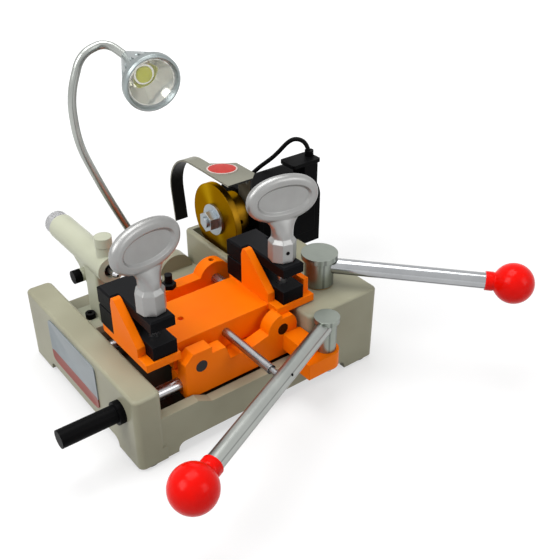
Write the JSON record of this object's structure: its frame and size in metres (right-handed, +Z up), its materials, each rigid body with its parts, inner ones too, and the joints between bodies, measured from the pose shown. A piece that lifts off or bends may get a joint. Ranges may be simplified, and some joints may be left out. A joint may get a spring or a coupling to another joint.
{
  "type": "key duplicating machine",
  "caption": "Bench key duplicating machine with a cutter wheel and motor, a tracer, twin key vises on an orange cross-sliding carriage, lever handles with red balls and a gooseneck lamp.",
  "frame": {"origin": "middle of the base's four bench holes, on the bench under the rubber feet", "axes": "+X to the right along the cross shaft, +Y to the back, +Z up"},
  "size_m": [0.4421, 0.4012, 0.324],
  "materials": {
    "base_paint": "semi-gloss beige-grey paint on cast iron",
    "orange_paint": "glossy orange paint on castings",
    "tracer_paint": "pale semi-gloss paint",
    "black_oxide": "blackened steel",
    "motor_black": "satin black paint",
    "guard_grey": "grey sheet metal",
    "chrome": "polished chrome plate",
    "steel": "ground steel",
    "zinc": "satin plated zinc casting",
    "red_plastic": "glossy red moulding",
    "gold": "gold-coloured plated steel",
    "bronze": "oiled bronze",
    "copper_iron": "laminated iron and windings",
    "rubber": "black rubber",
    "black_plastic": "black moulding",
    "lamp_silver": "silver anodised aluminium",
    "reflector": "mirror coating",
    "lens": "clear lens"
  },
  "bodies": {
    "base": {"base_casting": "base_paint", "rubber_feet": "rubber", "shaft_bushes": "bronze", "end_sleeve": "black_plastic", "rear_guide_bar": "steel", "lever_bush": "bronze", "tracer_bracket": "tracer_paint", "socket_screws": "black_oxide", "motor_shell": "motor_black", "motor_left_bell": "motor_black", "motor_right_bell": "motor_black", "stator": "copper_iron", "motor_bearings": "steel", "motor_foot": "motor_black", "terminal_box": "black_plastic", "lead_glands": "black_plastic", "motor_lead": "rubber", "guard": "guard_grey", "lamp_socket": "chrome", "gooseneck": "chrome", "lamp_head": "lamp_silver", "reflector": "reflector", "lamp_lens": "lens", "switch_housing": "black_plastic", "mains_inlet": "black_plastic"},
    "saddle": {"saddle": "orange_paint", "cross_shaft": "steel", "shaft_yoke": "steel", "guide_rods": "steel", "set_screws": "black_oxide", "rear_bush": "bronze", "stop_screw": "black_oxide", "feed_pivot": "steel"},
    "carriage": {"carriage": "orange_paint", "rod_bushes": "bronze", "push_rod": "steel", "left_lower_jaw": "black_oxide", "right_lower_jaw": "black_oxide", "jaw_studs": "steel"},
    "left_jaw": {"left_upper_jaw": "black_oxide"},
    "right_jaw": {"right_upper_jaw": "black_oxide"},
    "left_wing": {"left_knob": "zinc"},
    "right_wing": {"right_knob": "zinc"},
    "feed_lever": {"feed_hub": "steel", "feed_rod": "chrome", "feed_ball": "red_plastic"},
    "traverse_lever": {"traverse_post": "steel", "traverse_crank": "steel", "traverse_rod": "chrome", "traverse_ball": "red_plastic"},
    "spindle": {"rotor": "steel", "cutter_flange": "gold", "cutter": "gold", "clamp_washer": "steel", "cutter_nut": "steel"},
    "tracer": {"tracer_pin": "steel"},
    "thimble": {"tracer_thimble": "chrome"},
    "tracer_clamp": {"tracer_lock": "tracer_paint"},
    "side_clamp": {"side_knob": "black_plastic"},
    "rocker": {"power_rocker": "black_plastic"}
  },
  "joints": [
    {"name": "traverse_turn", "type": "hinge", "parent": "base", "child": "traverse_lever", "pos_m": [0.098, -0.069, 0.1], "axis": [0, 0, 1], "range_deg": [-76, 0]},
    {"name": "saddle_slide", "type": "slide", "parent": "base", "child": "saddle", "axis": [1, 0, 0], "range_m": [-0.0321, 0.0001]},
    {"name": "carriage_slide", "type": "slide", "parent": "saddle", "child": "carriage", "axis": [0, 1, 0], "range_m": [-0.004, 0.026]},
    {"name": "feed_turn", "type": "hinge", "parent": "saddle", "child": "feed_lever", "pos_m": [0.06, -0.126, 0.07], "axis": [0, 0, 1], "range_deg": [-16.6, 2.6]},
    {"name": "left_knob_turn", "type": "hinge", "parent": "left_jaw", "child": "left_wing", "pos_m": [-0.094, -0.072, 0.15], "axis": [0, 0, 1], "range_deg": [-328, 736]},
    {"name": "left_jaw_slide", "type": "slide", "parent": "carriage", "child": "left_jaw", "axis": [0, 0, 1], "range_m": [-0.00177, 0.00399]},
    {"name": "right_knob_turn", "type": "hinge", "parent": "right_jaw", "child": "right_wing", "pos_m": [0.048, -0.072, 0.15], "axis": [0, 0, 1], "range_deg": [-328, 736]},
    {"name": "right_jaw_slide", "type": "slide", "parent": "carriage", "child": "right_jaw", "axis": [0, 0, 1], "range_m": [-0.00177, 0.00399]},
    {"name": "spindle_turn", "type": "hinge", "parent": "base", "child": "spindle", "pos_m": [0.1, 0.061, 0.1176], "axis": [1, 0, 0], "continuous": true},
    {"name": "thimble_turn", "type": "hinge", "parent": "base", "child": "thimble", "pos_m": [-0.0785, 0.15, 0.1176], "axis": [0, 1, 0], "range_deg": [-366, 366]},
    {"name": "tracer_slide", "type": "slide", "parent": "base", "child": "tracer", "axis": [0, 1, 0], "range_m": [-0.00199, 0.00199]},
    {"name": "tracer_lock_turn", "type": "hinge", "parent": "base", "child": "tracer_clamp", "pos_m": [-0.0785, 0.045, 0.145], "axis": [0, 0, 1], "range_deg": [0, 180]},
    {"name": "side_knob_turn", "type": "hinge", "parent": "base", "child": "side_clamp", "pos_m": [-0.095, 0.084, 0.092], "axis": [1, 0, 0], "range_deg": [0, 180]},
    {"name": "rocker_turn", "type": "hinge", "parent": "base", "child": "rocker", "pos_m": [0.138, 0.02, 0.038], "axis": [0, 1, 0], "range_deg": [-12, 12]}
  ],
  "couplings": [
    {"joint": "saddle_slide", "follows": "traverse_turn", "m_per_rad": 0.024125},
    {"joint": "feed_turn", "follows": "carriage_slide", "rad_per_m": -11.09},
    {"joint": "left_knob_turn", "follows": "left_jaw_slide", "rad_per_m": 3141.6},
    {"joint": "right_knob_turn", "follows": "right_jaw_slide", "rad_per_m": 3141.6},
    {"joint": "thimble_turn", "follows": "tracer_slide", "rad_per_m": 3141.6}
  ]
}
